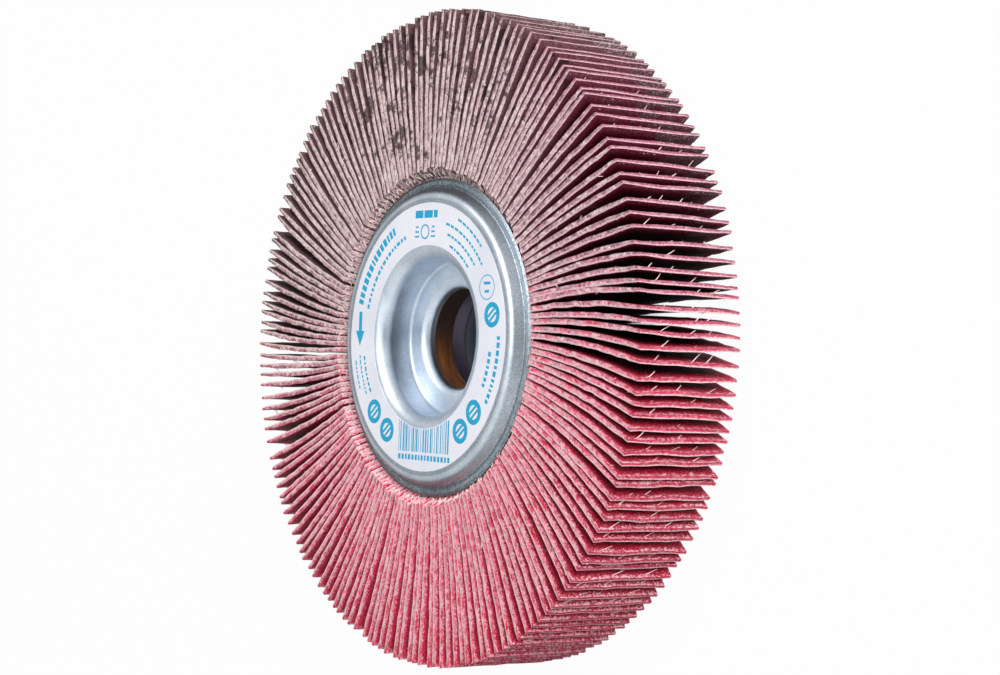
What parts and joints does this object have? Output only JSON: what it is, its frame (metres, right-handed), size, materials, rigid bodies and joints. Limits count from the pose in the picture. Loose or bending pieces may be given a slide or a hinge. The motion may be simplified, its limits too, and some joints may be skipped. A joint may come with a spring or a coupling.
{
  "type": "flap wheel",
  "caption": "Abrasive flap wheel: coated cloth flaps standing out radially between two pressed steel side plates with a central bore.",
  "frame": {"origin": "centre of the wheel, on the bore's axis and midway between the two side plates", "axes": "+Z along the bore's axis, out of the labelled side; +X and +Y in the plane of the wheel"},
  "size_m": [0.165, 0.165, 0.0321],
  "materials": {
    "plate_steel": "satin",
    "label_paper": "matte",
    "sleeve_board": "matte",
    "core_resin": "gloss",
    "abrasive_cloth": "matte"
  },
  "bodies": {
    "root": {"front_plate": "plate_steel", "back_plate": "plate_steel", "front_label": "label_paper", "spacer_sleeve": "sleeve_board", "resin_core": "core_resin", "flaps_01": "abrasive_cloth", "flaps_02": "abrasive_cloth", "flaps_03": "abrasive_cloth", "flaps_04": "abrasive_cloth", "flaps_05": "abrasive_cloth", "flaps_06": "abrasive_cloth", "flaps_07": "abrasive_cloth", "flaps_08": "abrasive_cloth", "flaps_09": "abrasive_cloth", "flaps_10": "abrasive_cloth", "flaps_11": "abrasive_cloth", "flaps_12": "abrasive_cloth", "flaps_13": "abrasive_cloth", "flaps_14": "abrasive_cloth", "flaps_15": "abrasive_cloth", "flaps_16": "abrasive_cloth", "flaps_17": "abrasive_cloth", "flaps_18": "abrasive_cloth", "flaps_19": "abrasive_cloth", "flaps_20": "abrasive_cloth", "flaps_21": "abrasive_cloth", "flaps_22": "abrasive_cloth", "flaps_23": "abrasive_cloth", "flaps_24": "abrasive_cloth"}
  },
  "joints": []
}
